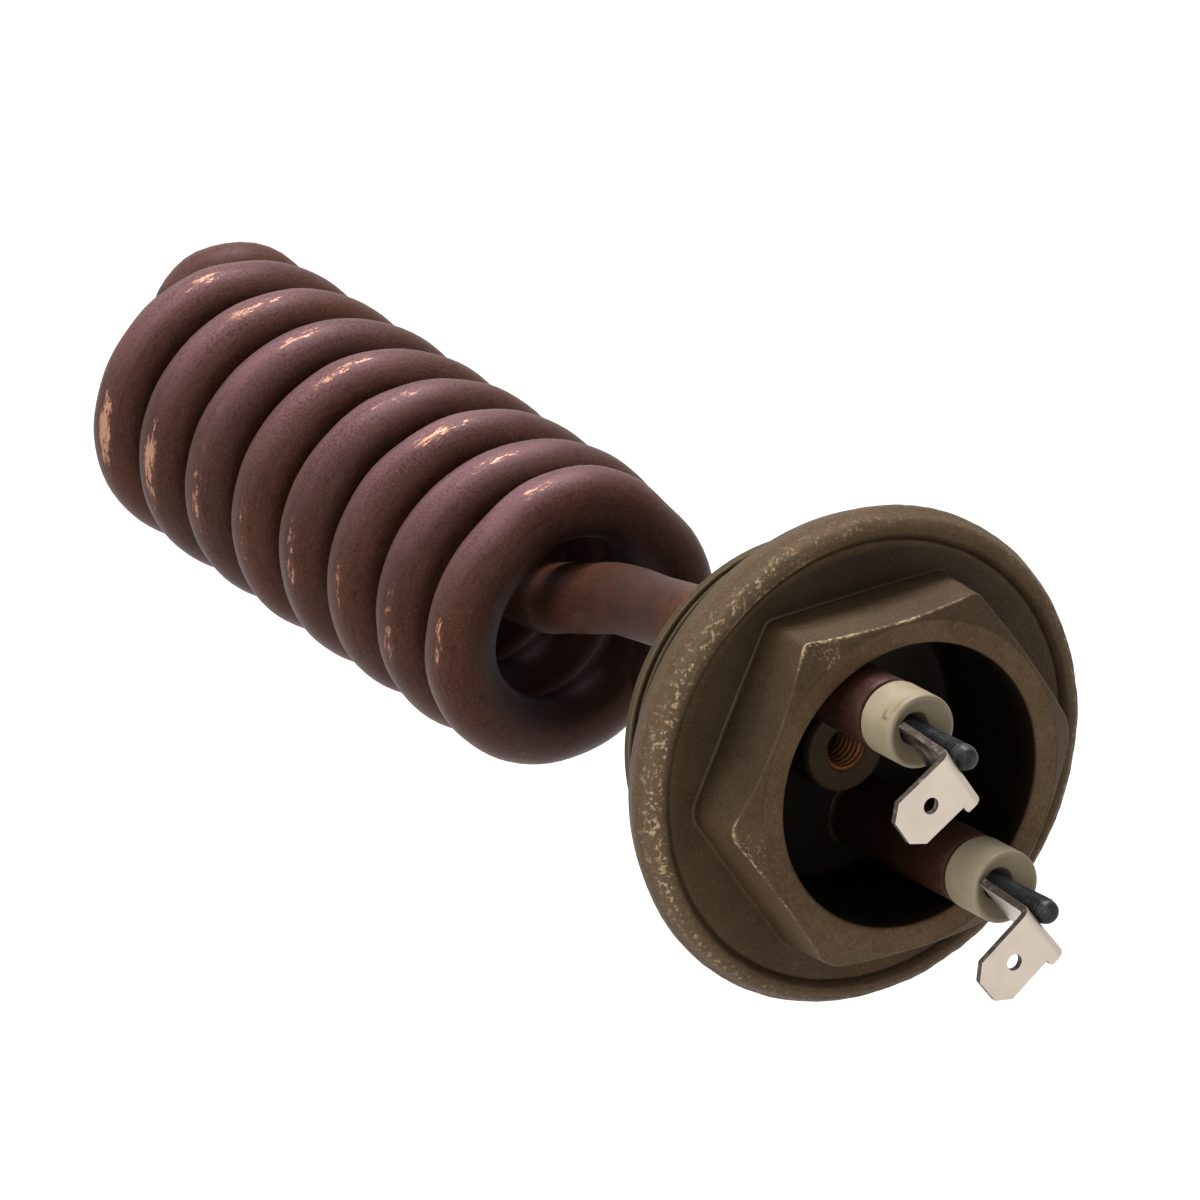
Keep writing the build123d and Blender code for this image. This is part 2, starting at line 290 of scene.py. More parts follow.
def head_rings(theta):
    """Radius and Y over the hexagon. Every ring is the hexagon's distance moved by a fixed amount: out along
    the chamfer's cone, over a rounded edge, down the flats with their draft and out through the root."""
    hexagon = hexagon_radius(theta)
    corner_y = HEX_FRONT + (hexagon - HEX_CHAMFER_FROM) * np.tan(HEX_CHAMFER)
    reach = HEX_EDGE * np.tan((np.pi / 2 - HEX_CHAMFER) / 2)
    way = np.array([np.cos(HEX_CHAMFER), np.sin(HEX_CHAMFER)])
    side = np.array([-way[1], way[0]])
    swing = np.linspace(0, np.pi / 2 - HEX_CHAMFER, 8)[:, None]
    edge = HEX_EDGE * (np.sin(swing) * way - np.cos(swing) * side + side) - reach * way
    along_cone = np.linspace(0, 1, 11)[:-1, None]
    cone_r = HEX_CHAMFER_FROM + (hexagon + edge[0, 0] - HEX_CHAMFER_FROM) * along_cone
    cone_y = HEX_FRONT + (corner_y + edge[0, 1] - HEX_FRONT) * along_cone
    edge_r = hexagon + edge[:, :1]
    edge_y = corner_y + edge[:, 1:]
    down = np.linspace(0, 1, 24)[1:-1, None]
    flats_r = hexagon + HEX_DRAFT * down
    flats_y = edge_y[-1:] + (FACE_Y - HEX_ROOT - edge_y[-1:]) * down
    swing = np.linspace(0, np.pi / 2, 8)[:, None]
    root_r = hexagon + HEX_DRAFT + HEX_ROOT * (1 - np.cos(swing))
    root_y = FACE_Y - HEX_ROOT * (1 - np.sin(swing)) + 0 * theta
    face = np.array([0.015, 0.035, 0.07, 0.17, 0.33, 0.5, 0.67, 0.83])[:, None]
    face_r = root_r[-1:] + (RIM_INNER - 0.4 - root_r[-1:]) * face
    face_y = FACE_Y + 0 * face_r
    return (
        np.vstack([cone_r, edge_r, flats_r, root_r, face_r]),
        np.vstack([cone_y, edge_y, flats_y, root_y, face_y]),
    )


def plug_rings():
    """The plug's rings from the middle of the pocket's floor to the middle of the rear face: radius, Y and
    direction round the axis, the stretch each is on (0 pocket, 1 head, 2 flange, 3 rear) and how deep the
    thread is cut."""
    theta = HEX_TURN + np.linspace(0, 2 * np.pi, PLUG_COLUMNS, endpoint=False)[None]
    pocket = arc_chain([
        (1.0, POCKET_FLOOR, 0),
        (POCKET_RADIUS, POCKET_FLOOR, 0.6),
        (POCKET_RADIUS, HEX_FRONT, 0.45),
        (HEX_CHAMFER_FROM - 0.25, HEX_FRONT, 0),
    ], 1.2)
    flange = arc_chain([
        (RIM_INNER - 0.35, FACE_Y, 0),
        (RIM_INNER - 0.2, FACE_Y, 0.05),
        (RIM_INNER - 0.02, FACE_Y + 0.3, 0.06),
        (RIM_INNER + 0.2, FACE_Y - 0.1, 0.05),
        (RIM_INNER + 0.62, RIM_CREST_Y, 0.3),
        (RIM_INNER + 1.3, RIM_CREST_Y + 0.05, 0.9),
        (FLANGE_RADIUS - 0.75, FACE_Y - 0.05, 1.3),
        (FLANGE_RADIUS, FACE_Y + 1.8, 0.6),
        (FLANGE_RADIUS, FLANGE_BACK, 0.15),
        (SEAT_RADIUS + 0.2, 0, 0.2),
        (RELIEF_RADIUS, 0, 0.3),
        (RELIEF_RADIUS, RELIEF_END, 0.2),
        (THREAD_MAJOR, RELIEF_END + 0.8, 0.1),
    ], 0.36)
    thread_y = np.linspace(RELIEF_END + 0.85, SPIGOT_END - SPIGOT_CHAMFER, THREAD_ROWS)
    thread = np.stack([np.full(THREAD_ROWS, THREAD_MAJOR), thread_y], -1)
    rear = arc_chain([
        (THREAD_MAJOR, SPIGOT_END - SPIGOT_CHAMFER, 0),
        (THREAD_MAJOR - SPIGOT_CHAMFER, SPIGOT_END, 0.12),
        (1.0, SPIGOT_END, 0),
    ], 1.2)[1:]
    head_r, head_y = head_rings(theta)
    wide = np.ones_like(theta)
    outer = np.vstack([flange, thread, rear])
    r = np.vstack([pocket[:, :1] * wide, head_r, outer[:, :1] * wide])
    y = np.vstack([pocket[:, 1:] * wide, head_y, outer[:, 1:] * wide])
    relief = 4
    counts = [len(pocket), len(head_r), len(flange) - relief, relief + len(thread) + len(rear)]
    stretch = np.repeat(range(4), counts)
    root = THREAD_MAJOR - THREAD_DEPTH
    crest = np.clip(1.5 * zigzag((y - RELIEF_END) / THREAD_PITCH + theta / (2 * np.pi)) - 0.25, 0, 1)
    run_in = np.clip((y - RELIEF_END - 0.3) / 0.7, 0, 1) * np.clip((SPIGOT_LIP - y) / 0.25, 0, 1)
    on_thread = (stretch == 3)[:, None] * (r > root)
    cut = np.minimum(THREAD_DEPTH * (1 - crest) * run_in * on_thread, np.maximum(r - root, 0))
    r = r - cut
    return r, y, theta * np.ones_like(r), stretch[:, None] * np.ones_like(r), cut


r, y, theta, stretch, cut = plug_rings()
in_mouth, on_head, on_flange, on_rear = (stretch == number for number in range(4))
rings = revolved(r, y, theta)
on_rim = bell(r, 27, 1.5) * (y < -1.5) * on_flange
forged = on_head | (on_flange & (y < -1.0))
grain = 0.5 * lumps(rings, 2.1, 3) + 0.4 * lumps(rings, 0.9, 4) + lumps(rings, 6.0, 5)
outward = np.stack([np.cos(theta), -on_rim, np.sin(theta)], -1)
rings = rings + outward * (grain * forged * (FORGED_GRAIN + RIM_GRAIN * on_rim))[..., None]
turned = np.degrees(theta) % 360


def near(angle, width):
    """A bell over the direction round the axis, in degrees."""
    return bell((turned - angle + 180) % 360 - 180, 0, width)


hexagon = hexagon_radius(theta)
hex_corner_y = HEX_FRONT + (hexagon - HEX_CHAMFER_FROM) * np.tan(HEX_CHAMFER)
# Gold on the hexagon's front edges, its corners and the rim's crest: rubbed wear, with painted highlight laid
# on, weighted to the sides that catch the light.
hex_edge = on_head * bell(y, hex_corner_y + 0.03, 0.17) * (r > hexagon - 0.35)
rubbed_edge = 0.10 + 0.62 * near(98, 24) + 0.45 * near(122, 8) + 0.40 * near(190, 16)
rubbed_edge += 0.35 * near(222, 20) + 0.25 * near(0, 60)
corner_rub = 0.42 * near(121, 6) + 0.34 * near(190, 6) + 0.2 * near(200, 8)
corner_rub = on_head * (y < hex_corner_y + 0.1) * corner_rub
mouth = in_mouth * bell(r, POCKET_RADIUS + 0.15, 0.22) * (y < HEX_FRONT + 0.5)
# Painted highlights: a thin bright line along the hexagon's root crease, strongest on the upper left, and one
# along the spigot's lip, strongest on the left.
crease = on_head * bell(r, hexagon + HEX_DRAFT + HEX_ROOT, 0.10) * (y > FACE_Y - 0.12)
crease *= 0.2 + 0.8 * near(150, 48)
spigot_edge = on_rear * bell(y, SPIGOT_LIP + 0.06, 0.07) * (r > THREAD_MAJOR - 0.2)
# The rim's band, where worn lettering leaves gold specks, with painted light on it: strongest on the left,
# less on the right, least at the top and bottom.
rim_side = 0.22 + 0.78 * near(178, 60) + 0.20 * near(110, 25) + 0.40 * near(5, 45)
crest_line = on_flange * bell(r, RIM_INNER + 0.65, 0.22) * (y < FACE_Y - 0.4) * near(122, 20)
# Painted shade: a dark line in the groove inside the rim, fainter on the left.
groove = ~on_rear * bell(r, RIM_INNER, 0.2) * (y > FACE_Y - 0.3) * (1 - 0.75 * near(165, 50))
# Painted shade in the pocket: near black, deepest towards the floor, with a painted pool of light on the
# floor's upper part.
in_pocket = in_mouth * (r < POCKET_RADIUS + 0.02) * (y > HEX_FRONT + 0.25)
on_floor = in_pocket * (y > POCKET_FLOOR - 1.2)
wall = 0.88 + 0.11 * np.clip((y - HEX_FRONT) / 4, 0, 1)
soot = np.where(on_floor, 0.98 - 0.85 * near(84, 36), wall) * in_pocket
front = in_mouth * (r > POCKET_RADIUS + 0.1) * (y < HEX_FRONT + 0.3)
annulus = on_head * (y > FACE_Y - 0.2) * (r > hexagon + HEX_DRAFT)
flats = on_head * ~annulus * (y > hex_corner_y + 0.1)
cone = on_head * (y < hex_corner_y - 0.02)
# Painted light and shade by direction: the annulus darker at its top and near the hexagon's root, the cone
# darker at the top and lighter below, the flats darker on the upper left and the top and a little lighter on
# the lower left. The front ring is lighter for its machined finish.
near_root = annulus * np.exp(-(r - hexagon - HEX_DRAFT) / 1.6)
tone = 1 + 0.50 * front - 0.16 * cone * near(90, 60) + 0.14 * cone * near(240, 60)
tone -= annulus * (0.16 + 0.46 * near(92, 40)) + 0.25 * near_root * near(110, 70)
tone -= flats * (0.46 * near(155, 27) + 0.24 * near(90, 25) - 0.08 * near(215, 25))
plug_body = skin(
    "plug_body",
    rings,
    worn=np.clip(hex_edge * rubbed_edge + mouth * 0.05 + corner_rub + 0.8 * crest_line, 0, 1),
    line=np.clip(0.55 * crease + spigot_edge * (0.3 + 0.7 * near(180, 60)), 0, 1),
    band=on_flange * bell(r, 26.9, 0.95) * (y < -2.2) * rim_side,
    machined=((y > FLANGE_BACK + 0.1) & (on_flange | on_rear)).astype(float),
    soot=np.clip(soot + 0.75 * groove, 0, 1),
    cut=cut / THREAD_DEPTH,
    tone=tone,
    copper=0 * y,
)


def forged_brass():
    """Brass gone dull brown under its oxide, with a blasted grain. Metal shows at the rubbed edges, in gold
    specks on the rim and in the finest grain, with painted highlights laid on the edges. Painted highlight
    lines run along the hexagon's root and the spigot's lip, painted light falls on the rim's band, painted
    coppery glints lie in the tapped hole, the tone holds painted light and shade by direction, and painted
    shade fills the pocket, the rim's groove and the thread's valleys."""
    shader = Shader("forged_brass")
    names = ("worn", "line", "band", "machined", "soot", "cut", "tone", "copper")
    worn, line, band, machined, soot, cut, tone, copper = map(shader.attribute, names)
    broad = shader.noise(11, 3)
    patch = shader.noise(2.6, 5, 0.62)
    grain = shader.noise(0.36, 4, 0.75)
    fleck = shader.noise(0.26, 2, 0.5)
    specks = shader.noise(0.62, 5, 0.74)
    colour = shader.tint((0.084, 0.050, 0.025), broad, (0.35, 0.65), (0.108, 0.068, 0.035))
    colour = shader.tint(colour, patch, (0.45, 0.75), (0.135, 0.088, 0.048), 0.5)
    colour = shader.tint(colour, grain, (0.50, 0.70), (0.042, 0.024, 0.012), 0.55)
    colour = shader.tint(colour, grain, (0.48, 0.34), (0.175, 0.108, 0.056), 0.45)
    # The rim's band: a lighter colour, weighted by painted light on its sides.
    colour = shader.mix(shader.times(band, 0.7), colour, (0.225, 0.150, 0.088))
    # The tone scales the colour: lighter on the machined front ring, and painted light and shade by direction
    # elsewhere.
    dim = shader.add("ShaderNodeVectorMath", {0: colour, "Scale": tone}, operation="SCALE").outputs[0]
    gold = shader.times(shader.step(fleck, 0.68, 0.76), 0.4)
    rubs = shader.times(shader.step(patch, 0.42, 0.60), 0.6)
    rubs = shader.plus(rubs, shader.times(shader.step(grain, 0.5, 0.6), 0.9))
    # Worn edges show gold: wear, with painted highlight on the sides that catch the light.
    gold = shader.plus(gold, shader.times(worn, shader.plus(rubs, 0.25)))
    gold = shader.plus(gold, shader.times(band, shader.step(specks, 0.53, 0.60)))
    gold = shader.step(gold, 0.05, 0.95)
    colour = shader.mix(shader.times(machined, 0.7), dim, (0.074, 0.052, 0.025))
    # Painted shade in the thread's valleys, on the spigot and in the tapped hole.
    colour = shader.mix(shader.times(machined, cut), colour, (0.020, 0.013, 0.007))
    colour = shader.mix(shader.times(gold, 0.85), colour, (0.50, 0.36, 0.215))
    # Painted highlight lines along the hexagon's root and the spigot's lip.
    colour = shader.mix(line, colour, (0.27, 0.20, 0.125))
    # Painted shade in the pocket, the rim's groove, the boss and its hole.
    colour = shader.mix(soot, colour, (0.0036, 0.0024, 0.0013))
    # Painted coppery glints in the tapped hole.
    colour = shader.mix(copper, colour, (0.50, 0.17, 0.045))
    metallic = shader.plus(shader.times(shader.plus(gold, copper), 0.6), 0.06)
    height = shader.plus(shader.times(grain, 0.7), shader.times(patch, 0.2))
    height = shader.plus(height, shader.times(shader.times(band, specks), 2.2))
    return shader.finish(
        base_color=colour,
        metallic=metallic,
        roughness=shader.plus(shader.times(grain, 0.25), 0.42),
        specular_ior_level=0.12,
        normal=shader.bump(height, 0.14),
    )


brass = forged_brass()
dress(plug_body, brass, "plug_brass", "hex_plug")

# The earth boss, part of the same forging, stands in the middle of the pocket's floor.
# Its hole is tapped M5; the cut thread's crests show bright metal, with painted coppery glints near the mouth
# on one side.
BOSS_RADIUS = 4.8
BOSS_TOP = -1.0
BOSS_COLUMNS = 112
TAP_RADIUS = 2.5
TAP_DEPTH = 0.42
TAP_PITCH = 0.8
TAP_END = 7.4
TAP_ROWS = 130
boss = arc_chain([
    (BOSS_RADIUS + 0.6, POCKET_FLOOR + 0.3, 0),
    (BOSS_RADIUS + 0.25, POCKET_FLOOR - 0.1, 0.3),
    (BOSS_RADIUS, BOSS_TOP, 0.4),
    (TAP_RADIUS + 0.12, BOSS_TOP, 0.12),
    (TAP_RADIUS, BOSS_TOP + 0.3, 0),
], 0.25)
hole_y = np.linspace(BOSS_TOP + 0.34, TAP_END, TAP_ROWS)
hole = np.stack([np.full(TAP_ROWS, TAP_RADIUS), hole_y], -1)
boss_r, boss_y, theta = lathed(np.vstack([boss, hole]), BOSS_COLUMNS)
in_hole = (np.arange(len(boss_r)) >= len(boss))[:, None] * np.ones_like(theta)
ridge = zigzag(boss_y / TAP_PITCH + theta / (2 * np.pi))
boss_r = boss_r - TAP_DEPTH * ridge * in_hole
earth_boss = skin(
    "earth_boss",
    revolved(boss_r, boss_y, theta),
    # Bright metal on the thread's crests, with painted glints.
    worn=0.5 * in_hole * ridge,
    line=0 * ridge,
    band=0 * ridge,
    machined=in_hole * 0.5,
    # Painted shade: the boss's face darker at its foot, its hole darker with depth.
    soot=np.where(in_hole > 0, np.clip(0.45 + (boss_y - 0.2) / 4, 0, 1), 0.50 + 0.42 * (boss_y > 0)),
    cut=in_hole * (1 - ridge),
    tone=1 + 0 * ridge,
    # Painted glints: coppery on the thread's crests near the mouth, on one side.
    copper=in_hole * ridge**2 * np.clip(1.1 - boss_y / 5, 0, 1) * np.clip(0.6 - np.sin(theta), 0, 1),
)
dress(earth_boss, brass, "plug_brass", "hex_plug")

# The sheath: one copper tube, 8 mm across, drawn down on its magnesia, oxidised in a furnace and then bent
# round a mandrel into eight turns. Both ends come back through the plug and are brazed there.
SHEATH_RADIUS = 4.0
SHEATH_BORE = 3.2
SHEATH_END = -17.7
LEG_RADIUS = 11.19
LEG_ANGLE = np.radians(118)
LEG_STRAIGHT = 14.0
COIL_RADIUS = 14.0
COIL_PITCH = 10.7
COIL_TURNS = 8
COIL_START = 48.7
COIL_AXIS_AT = np.array([-2.0, 55.9, -1.66])
COIL_LEAN = np.array([-0.019, 1.0, 0.0552])
COIL_FRONT = 44
COIL_INSIDE = 9
SHEATH_COLUMNS = 44
SHEATH_STEP = 1.05
SHEATH_EDGE = 0.12
LEG_LEAN = {"upper": np.array([0, 0, 0.45]), "lower": np.array([0.33, 0, 0.36])}


def leg_point(side, y):
    """A point on the straight part of a leg: side is 1 on the upper leg and -1 on the lower."""
    return np.array([side * LEG_RADIUS * np.cos(LEG_ANGLE), y, side * LEG_RADIUS * np.sin(LEG_ANGLE)])


def coil_axis(y):
    """The point of the leaning coil axis at a given Y."""
    return COIL_AXIS_AT + COIL_LEAN * (np.asarray(y)[..., None] - COIL_AXIS_AT[1])


def coil_point(phase, radius):
    """A point of the left-handed helix at a phase in degrees, counted from +X over +Z."""
    turn = np.radians(phase)
    out = np.array([np.cos(turn), 0, np.sin(turn)])
    return coil_axis(COIL_START + COIL_PITCH * phase / 360) + radius * out


def leant(points, lean):
    """Points moved by a lean that grows with the distance in front of the pocket's floor."""
    return points + np.maximum(POCKET_FLOOR - points[..., 1:2], 0) / (POCKET_FLOOR - SHEATH_END) * lean


def sheath_corners():
    """Corners and bend radii of the tube's route, from the upper leg's end to the lower leg's. The turns are
    quarter arcs, whose corners lie outside the coil's radius and take all the room they have."""
    last = coil_point(COIL_TURNS * 360 + 45, COIL_RADIUS)
    first = coil_point(45, COIL_RADIUS)
    corner = COIL_RADIUS * 2**0.5
    quarters = [(coil_point(phase, corner), None) for phase in range(COIL_TURNS * 360, 90, -90)]
    inward = np.array([-0.53, 0, -0.53])
    quarters.append((coil_point(90, corner) + inward, 10.0))
    return [
        (leg_point(1, SHEATH_END), 0),
        (leg_point(1, LEG_STRAIGHT), 26),
        (np.array([-3.9, 39.5, 5.4]), 26),
        (coil_axis(61.0), 26),
        (coil_axis(141.3), 5.6),
        (np.array([-3.3, 139.9, 13.1]), 5.9),
        (last + np.array([-2.75, 1.0, 2.75]), 5.9),
        *quarters,
        (first + np.array([3.27, -0.68, -4.53]) + inward, 8.4),
        (leg_point(-1, 47.4), 7),
        (leg_point(-1, SHEATH_END), 0),
    ]


def along_route(corners, step):
    """Points, directions and side vectors along straight runs joined by tangent arcs. Along an arc direction
    and side vector turn together about the arc's axis, so the side vector never twists."""
    here = corners[0][0]
    places, ways, sides = [], [], []
    side = np.array([1.0, 0, 0])
    for (before, _), (corner, radius), (after, _) in zip(corners, corners[1:], corners[2:]):
        come = (corner - before) / np.linalg.norm(corner - before)
        go = (after - corner) / np.linalg.norm(after - corner)
        turn = np.arccos(come @ go)
        reach = min(np.linalg.norm(corner - before), np.linalg.norm(after - corner)) / 2
        if radius is None:
            radius = reach / np.tan(turn / 2)
        enter = corner - come * radius * np.tan(turn / 2)
        count = round(np.linalg.norm(enter - here) / step)
        if count:
            run = np.arange(count)[:, None] / count
            places.append(here + (enter - here) * run)
            ways.append(come + 0 * run)
            sides.append(side + 0 * run)
        inward = (go - come * (come @ go)) / np.sin(turn)
        axis = np.cross(come, inward)
        swing = np.linspace(0, turn, max(3, round(radius * turn / step)), endpoint=False)[:, None]
        places.append(enter + radius * (np.sin(swing) * come + (1 - np.cos(swing)) * inward))
        ways.append(np.cos(swing) * come + np.sin(swing) * inward)
        lean = side @ inward
        sides.append((side @ axis) * axis + lean * (np.cos(swing) * inward - np.sin(swing) * come))
        side = (side @ axis) * axis + lean * (np.cos(turn) * inward - np.sin(turn) * come)
        here = corner + go * radius * np.tan(turn / 2)
    end = corners[-1][0]
    run = np.linspace(0, 1, round(np.linalg.norm(end - here) / step))[:, None]
    places.append(here + (end - here) * run)
    ways.append(go + 0 * run)
    sides.append(side + 0 * run)
    return np.vstack(places), np.vstack(ways), np.vstack(sides)


def tube_rings(places, ways, sides, radii, columns):
    """Circles of the given radii across a route, and their outward directions."""
    angle = np.linspace(0, 2 * np.pi, columns, endpoint=False)[None, :, None]
    out = np.cos(angle) * sides[:, None] + np.sin(angle) * np.cross(ways, sides)[:, None]
    return places[:, None] + radii[:, None, None] * out, out, angle


places, ways, sides = along_route(sheath_corners(), SHEATH_STEP)
along = np.concatenate([[0], np.cumsum(np.linalg.norm(np.diff(places, axis=0), axis=1))])
last = len(places) - 1
order = np.concatenate([[0], np.arange(last + 1), [last], np.arange(last, 0, -4), [0]])
radii = np.full(len(order), SHEATH_RADIUS)
radii[last + 3:] = SHEATH_BORE
radii[[0, last + 2]] = SHEATH_RADIUS - SHEATH_EDGE
shift = np.zeros(len(order))
shift[[1, last + 1]] = SHEATH_EDGE, -SHEATH_EDGE
middle = places[order]
shifted = middle + ways[order] * shift[:, None]
rings, out, angle = tube_rings(shifted, ways[order], sides[order], radii, SHEATH_COLUMNS)
from_axis = middle - coil_axis(middle[:, 1])
from_axis[:, 1] = 0
distance = np.linalg.norm(from_axis, axis=1, keepdims=True)
in_coil = (distance > COIL_INSIDE) * (middle[:, 1:2] > COIL_FRONT)
outside = np.einsum("ijk,ik->ij", out, from_axis / np.maximum(distance, 1)) * in_coil
dents = 0.03 * lumps(rings, 7.0, 11) + 0.05 * lumps(rings, 17.0, 12)
dented = (radii > SHEATH_BORE + 0.1)[:, None] * (rings[..., 1] > LEG_STRAIGHT)
rings = rings + out * (dents * dented)[..., None]
is_upper = (order < len(places) // 2)[:, None, None]
rings = leant(rings, np.where(is_upper, LEG_LEAN["upper"], LEG_LEAN["lower"]))
y = rings[..., 1]
on_tube = np.stack(np.broadcast_arrays(
    along[order][:, None] * MM,
    SHEATH_RADIUS * MM * np.cos(angle[..., 0]),
    SHEATH_RADIUS * MM * np.sin(angle[..., 0]),
), -1)
around_coil = np.degrees(np.arctan2(from_axis[:, 2:], from_axis[:, :1])) % 360
on_top = bell(around_coil, 108, 20)
on_left = bell(around_coil, 180, 24) * (0.9 + 0.5 * np.clip((y - 112) / 12, 0, 1))
facing = np.clip(outside, 0, 1)
leaning = -out[..., 1]
ridge_line = np.clip(1 - np.abs(leaning - 0.30) * 1.7, 0, 1)
scuffs = np.clip(facing * 1.1 - 0.1, 0, 1) * ridge_line * (0.12 + on_top + on_left)
# Painted sheen: a violet highlight along the turns' tops, on their outer sides.
sheen = in_coil * facing * bell(around_coil, 112, 34) * np.clip(1.25 - np.abs(leaning - 0.15) * 1.5, 0, 1)
# Painted shade: near black on the turns' insides, on the legs behind the coil and on the legs in the pocket.
inner = np.where(in_coil, np.clip(0.30 - outside, 0, 1) ** 1.2, 0)
rear_legs = ~in_coil * (y > 56)
leg_in_pocket = (y < POCKET_FLOOR + 1) * (0.25 + 0.75 * np.clip((y + 16) / 11, 0, 1))
hidden = np.clip(inner + 0.8 * rear_legs + leg_in_pocket, 0, 1)
copper_sheath = skin(
    "copper_sheath", rings, "loop", on_tube=on_tube, scuffs=scuffs, sheen=sheen, hidden=hidden
)


def oxidised_copper():
    """Furnace-oxidised copper: red-brown in soft streaks with a fine grain, with a painted violet sheen on
    the turns' tops and lighter patches round the scuffs that are partly painted sheen, redder towards the
    plug, painted shade inside the coil, on the legs behind it and in the pocket, and bright copper rubbed
    through along the turns."""
    shader = Shader("oxidised_copper")
    tube = shader.attribute("on_tube", "Vector")
    scuffs, sheen, hidden = map(shader.attribute, ("scuffs", "sheen", "hidden"))
    y = shader.add("ShaderNodeSeparateXYZ", {0: shader.place}).outputs["Y"]
    streaks = shader.noise(3.2, 5, 0.6, shader.stretched(tube, 0.16))
    broad = shader.noise(14, 3, 0.5, shader.stretched(tube, 0.4))
    mottle = shader.noise(1.5, 6, 0.7)
    fine = shader.noise(0.30, 4, 0.75)
    drawn = shader.noise(0.45, 4, 0.75, shader.stretched(tube, 0.16))
    colour = shader.tint((0.084, 0.029, 0.0145), broad, (0.35, 0.65), (0.062, 0.025, 0.0165))
    colour = shader.tint(colour, streaks, (0.48, 0.75), (0.094, 0.042, 0.028))
    colour = shader.tint(colour, drawn, (0.48, 0.66), (0.024, 0.0095, 0.006), 0.60)
    colour = shader.tint(colour, mottle, (0.52, 0.78), (0.024, 0.0095, 0.006))
    colour = shader.tint(colour, fine, (0.52, 0.72), (0.155, 0.070, 0.044), 0.7)
    colour = shader.tint(colour, fine, (0.48, 0.34), (0.020, 0.008, 0.005), 0.6)
    # The painted violet sheen, with painted glints in it.
    glint = shader.step(shader.plus(fine, shader.times(streaks, 0.6)), 0.62, 0.92)
    colour = shader.mix(shader.times(sheen, shader.plus(glint, 0.30)), colour, (0.205, 0.102, 0.112))
    warm = shader.times(shader.step(y, 48 * MM, 34 * MM), shader.step(y, 2 * MM, 6 * MM))
    blotch = shader.noise(2.6, 6, 0.72)
    hot = shader.tint((0.050, 0.020, 0.011), y, (27 * MM, 14 * MM), (0.165, 0.040, 0.014))
    hot = shader.tint(hot, mottle, (0.46, 0.62), (0.036, 0.015, 0.009))
    hot = shader.tint(hot, blotch, (0.50, 0.62), (0.033, 0.018, 0.011), 0.85)
    hot = shader.tint(hot, fine, (0.55, 0.72), (0.190, 0.078, 0.044), 0.5)
    colour = shader.mix(warm, colour, hot)
    chips = shader.noise(0.46, 6, 0.78, shader.stretched(tube, 0.33))
    where = shader.noise(6, 3, 0.6)
    rubbed = shader.plus(chips, shader.times(where, 0.30))
    rubbed = shader.step(shader.plus(rubbed, shader.times(scuffs, 0.40)), 1.00, 1.07)
    # Lighter patches round the scuffs: partly rubbed-clean copper, partly painted sheen on the turns' tops
    # and left sides.
    glow = shader.step(shader.plus(shader.times(where, 0.6), shader.times(scuffs, 0.5)), 0.55, 0.95)
    colour = shader.mix(shader.times(glow, 0.45), colour, (0.185, 0.086, 0.062))
    colour = shader.mix(shader.times(rubbed, 0.85), colour, (0.50, 0.26, 0.170))
    # Painted shade inside the coil, behind it and in the pocket.
    colour = shader.mix(shader.times(hidden, 0.85), colour, (0.006, 0.003, 0.0022))
    height = shader.plus(shader.times(fine, 0.6), shader.times(drawn, 0.4))
    return shader.finish(
        base_color=colour,
        metallic=shader.times(rubbed, 0.6),
        roughness=shader.plus(shader.times(streaks, 0.2), 0.36),
        specular_ior_level=0.17,
        specular_tint=(1.0, 0.64, 0.70),
        normal=shader.bump(height, 0.08, 0.8),
    )


dress(copper_sheath, oxidised_copper(), "copper_sheath", "sheath_tube")

# The ceramic beads: pressed and fired steatite, ivory and matt, pushed on a shank into the sheath's ends.
# Each has a countersunk mouth where its pin comes out.
BEAD_RADIUS = 4.1
BEAD_LENGTH = 6.2
BEAD_BORE = 1.8
BEAD_MOUTH = 3.62
BEAD_MOUTH_DEPTH = 1.5
BEAD_SHANK = 3.0
BEAD_ROUND = 0.9
BEAD_FRONT = SHEATH_END - BEAD_LENGTH
TURNED_COLUMNS = 96
LEGS = {"upper": 1, "lower": -1}


def turned_on_leg(profile, side):
    """A closed profile of (radius, Y) carried round a leg's axis."""
    return leg_point(side, 0) + revolved(*lathed(profile, TURNED_COLUMNS))


def fired_ceramic():
    """Ivory steatite: faint cloudiness, fine pores, a little dirt, a brown mark at the upper bead's front,
    and light that sinks in slightly."""
    shader = Shader("fired_ceramic")
    mark = shader.attribute("mark")
    cloud = shader.noise(4, 3)
    pores = shader.noise(0.25, 2, 0.6)
    dirt = shader.noise(1.6, 4, 0.6)
    colour = shader.tint((0.395, 0.325, 0.212), cloud, (0.35, 0.7), (0.335, 0.270, 0.168))
    colour = shader.tint(colour, dirt, (0.64, 0.76), (0.22, 0.17, 0.11), 0.35)
    colour = shader.tint(colour, dirt, (0.30, 0.50), (0.115, 0.075, 0.040), mark)
    return shader.finish(
        base_color=colour,
        roughness=shader.plus(shader.times(pores, 0.15), 0.5),
        normal=shader.bump(shader.plus(pores, dirt), 0.02, 0.5),
        subsurface_weight=0.1,
        subsurface_scale=0.6 * MM,
    )


